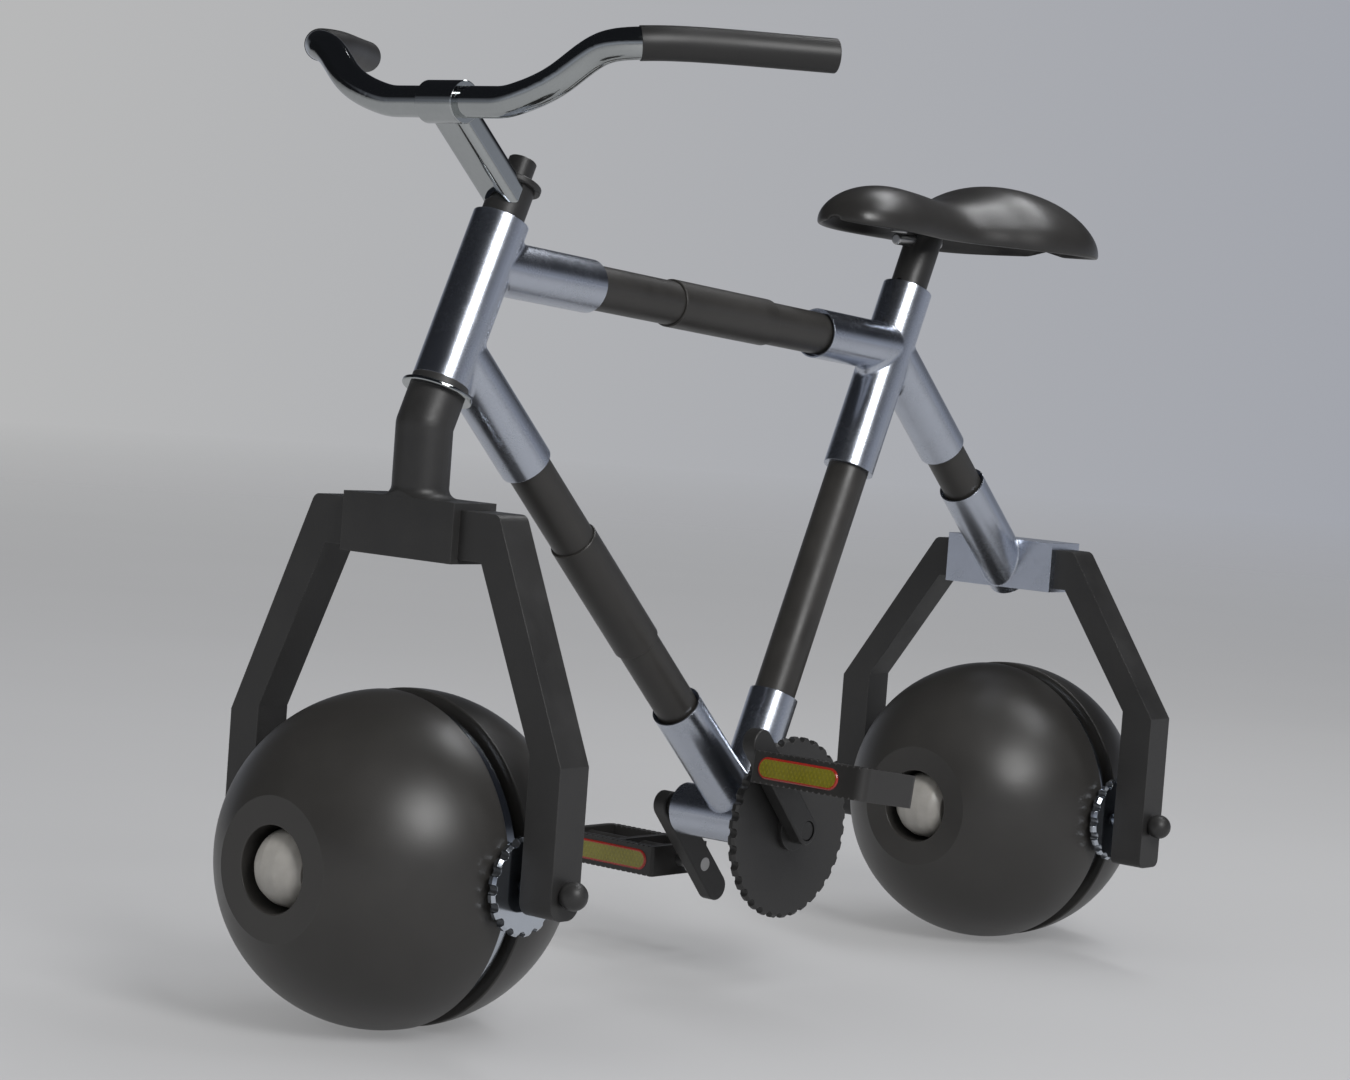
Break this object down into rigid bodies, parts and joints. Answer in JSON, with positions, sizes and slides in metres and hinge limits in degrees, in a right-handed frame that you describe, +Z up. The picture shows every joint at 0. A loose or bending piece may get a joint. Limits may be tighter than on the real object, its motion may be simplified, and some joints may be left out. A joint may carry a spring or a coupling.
{
  "type": "ball-wheel bicycle",
  "caption": "Small-wheel bicycle with a lugged frame, flat fork arms and, in place of each tyred wheel, a split ball whose halves turn sideways about the hub",
  "frame": {"origin": "on the ground, half way between the two wheel axles, in the middle plane", "axes": "+X forward, +Y to the rider's left, +Z up"},
  "size_m": [1.24, 0.5976, 0.891],
  "materials": {
    "lug_chrome": "satin bright plated",
    "frame_black": "satin",
    "fitting_black": "satin black coated",
    "polished_chrome": "mirror polished",
    "wheel_chrome": "bright plated",
    "plain_steel": "turned",
    "ball_rubber": "smooth satin",
    "roller_nylon": "satin",
    "grip_rubber": "smooth",
    "saddle_cover": "moulded satin",
    "pedal_plastic": "satin",
    "reflector": "clear gloss"
  },
  "bodies": {
    "frame": {"head_lug": "lug_chrome", "seat_lug": "lug_chrome", "bottom_bracket_lug": "lug_chrome", "rear_fork_lug": "lug_chrome", "top_tube_front": "frame_black", "top_tube_rear": "frame_black", "top_tube_sleeve": "frame_black", "down_tube_upper": "frame_black", "down_tube_lower": "frame_black", "down_tube_sleeve": "frame_black", "seat_tube": "frame_black", "stay_tube": "frame_black", "rear_fork_arm_left": "fitting_black", "rear_fork_arm_right": "fitting_black", "rear_axle": "plain_steel", "rear_axle_nuts": "fitting_black", "headset_cups": "fitting_black", "crank_bearings": "plain_steel"},
    "fork": {"fork_crown": "fitting_black", "crown_race": "polished_chrome", "front_fork_arm_left": "fitting_black", "front_fork_arm_right": "fitting_black", "front_axle": "plain_steel", "front_axle_nuts": "fitting_black"},
    "stem": {"stem_post": "fitting_black", "stem_bolt": "fitting_black", "stem_arm": "polished_chrome", "handlebar": "polished_chrome", "grips": "grip_rubber"},
    "crank": {"crank_axle": "fitting_black", "chainring": "fitting_black", "crank_arm_left": "fitting_black", "crank_arm_right": "fitting_black", "pedal_spindles": "plain_steel"},
    "seat": {"seat_post": "fitting_black", "saddle": "saddle_cover", "saddle_bracket": "plain_steel", "saddle_bolt": "plain_steel"},
    "pedal_left": {"pedal_left": "pedal_plastic", "pedal_reflectors_left": "reflector"},
    "pedal_right": {"pedal_right": "pedal_plastic", "pedal_reflectors_right": "reflector"},
    "front_wheel": {"front_hub": "wheel_chrome", "front_sprocket": "wheel_chrome", "front_pivot_bearings": "plain_steel"},
    "front_ball_fore": {"front_ball_fore": "ball_rubber", "front_roller_pin_fore": "plain_steel"},
    "front_roller_fore": {"front_roller_fore": "roller_nylon"},
    "front_ball_aft": {"front_ball_aft": "ball_rubber", "front_roller_pin_aft": "plain_steel"},
    "front_roller_aft": {"front_roller_aft": "roller_nylon"},
    "rear_wheel": {"rear_hub": "wheel_chrome", "rear_sprocket": "wheel_chrome", "rear_pivot_bearings": "plain_steel"},
    "rear_ball_fore": {"rear_ball_fore": "ball_rubber", "rear_roller_pin_fore": "plain_steel"},
    "rear_roller_fore": {"rear_roller_fore": "roller_nylon"},
    "rear_ball_aft": {"rear_ball_aft": "ball_rubber", "rear_roller_pin_aft": "plain_steel"},
    "rear_roller_aft": {"rear_roller_aft": "roller_nylon"}
  },
  "joints": [
    {"name": "steer", "type": "hinge", "parent": "frame", "child": "fork", "pos_m": [0.387, 0, 0.719], "axis": [-0.3907, 0, 0.9205], "range_deg": [-60, 60]},
    {"name": "stem_height", "type": "slide", "parent": "fork", "child": "stem", "axis": [-0.3907, 0, 0.9205], "range_m": [0, 0.03]},
    {"name": "seat_height", "type": "slide", "parent": "frame", "child": "seat", "axis": [-0.3827, 0, 0.9239], "range_m": [-0.035, 0.09]},
    {"name": "crank_spin", "type": "hinge", "parent": "frame", "child": "crank", "pos_m": [-0.01, 0, 0.157], "axis": [0, 1, 0], "continuous": true},
    {"name": "pedal_left_spin", "type": "hinge", "parent": "crank", "child": "pedal_left", "pos_m": [0.04754, 0, 0.22091], "axis": [0, 1, 0], "continuous": true},
    {"name": "pedal_right_spin", "type": "hinge", "parent": "crank", "child": "pedal_right", "pos_m": [-0.06754, 0, 0.09309], "axis": [0, 1, 0], "continuous": true},
    {"name": "front_wheel_spin", "type": "hinge", "parent": "fork", "child": "front_wheel", "pos_m": [0.466, 0, 0.15], "axis": [0, 1, 0], "continuous": true},
    {"name": "front_ball_fore_spin", "type": "hinge", "parent": "front_wheel", "child": "front_ball_fore", "pos_m": [0.466, 0, 0.15], "axis": [1, 0, 0], "continuous": true},
    {"name": "front_roller_fore_spin", "type": "hinge", "parent": "front_ball_fore", "child": "front_roller_fore", "pos_m": [0.585, 0, 0.15], "axis": [0, 1, 0], "continuous": true},
    {"name": "front_ball_aft_spin", "type": "hinge", "parent": "front_wheel", "child": "front_ball_aft", "pos_m": [0.466, 0, 0.15], "axis": [1, 0, 0], "continuous": true},
    {"name": "front_roller_aft_spin", "type": "hinge", "parent": "front_ball_aft", "child": "front_roller_aft", "pos_m": [0.347, 0, 0.15], "axis": [0, 1, 0], "continuous": true},
    {"name": "rear_wheel_spin", "type": "hinge", "parent": "frame", "child": "rear_wheel", "pos_m": [-0.466, 0, 0.15], "axis": [0, 1, 0], "continuous": true},
    {"name": "rear_ball_fore_spin", "type": "hinge", "parent": "rear_wheel", "child": "rear_ball_fore", "pos_m": [-0.466, 0, 0.15], "axis": [1, 0, 0], "continuous": true},
    {"name": "rear_roller_fore_spin", "type": "hinge", "parent": "rear_ball_fore", "child": "rear_roller_fore", "pos_m": [-0.347, 0, 0.15], "axis": [0, 1, 0], "continuous": true},
    {"name": "rear_ball_aft_spin", "type": "hinge", "parent": "rear_wheel", "child": "rear_ball_aft", "pos_m": [-0.466, 0, 0.15], "axis": [1, 0, 0], "continuous": true},
    {"name": "rear_roller_aft_spin", "type": "hinge", "parent": "rear_ball_aft", "child": "rear_roller_aft", "pos_m": [-0.585, 0, 0.15], "axis": [0, 1, 0], "continuous": true}
  ]
}
